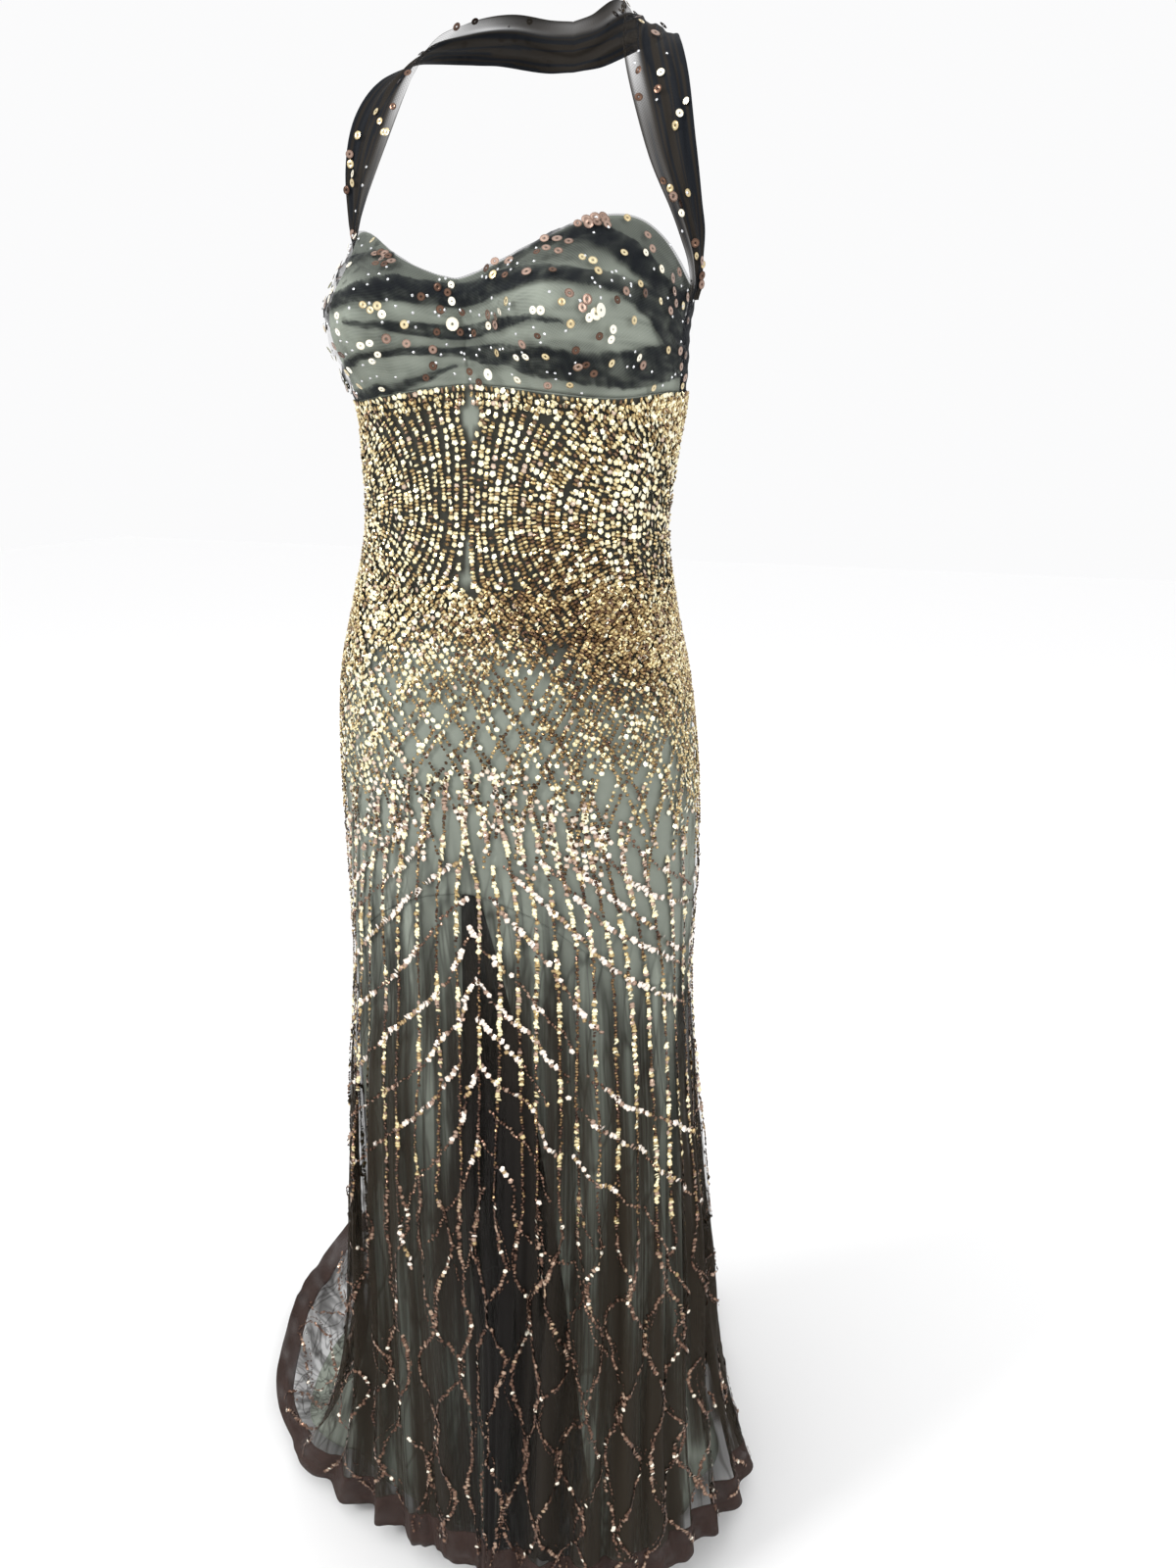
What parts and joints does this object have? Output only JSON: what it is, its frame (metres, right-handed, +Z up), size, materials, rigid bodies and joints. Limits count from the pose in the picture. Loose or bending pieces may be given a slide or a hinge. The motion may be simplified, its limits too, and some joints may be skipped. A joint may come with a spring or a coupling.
{
  "type": "evening gown",
  "caption": "Floor-length halter evening gown in its worn form: sweetheart bust of draped dark net, gold-beaded net over pale satin, dark hem band and a train swept to one side",
  "frame": {"origin": "on the inner face of the halter at the nape of the neck, where the gown is held", "axes": "+Z up, the wearer faces -Y, and the wearer's left is +X"},
  "size_m": [0.6549, 0.7518, 1.4567],
  "materials": {
    "beaded_net": "dark net with gold beads and sequins",
    "satin": "pale grey-green satin",
    "dark_net": "fine black net",
    "hem_band": "dark brown net band",
    "zip": "dark zip tape"
  },
  "bodies": {
    "root": {"net_front": "beaded_net", "net_back_left": "beaded_net", "net_back_right": "beaded_net", "hem_band_front": "hem_band", "hem_band_back_left": "hem_band", "hem_band_back_right": "hem_band", "lining_front": "satin", "lining_back_left": "satin", "lining_back_right": "satin", "flounce_front_left": "satin", "flounce_front_right": "satin", "flounce_back_left": "satin", "flounce_back_right": "satin", "godet_front": "dark_net", "cup_left": "satin", "cup_right": "satin", "bust_drape": "dark_net", "bodice_back_left": "dark_net", "bodice_back_right": "dark_net", "strap_left": "dark_net", "strap_right": "dark_net", "back_zip": "zip"}
  },
  "joints": []
}
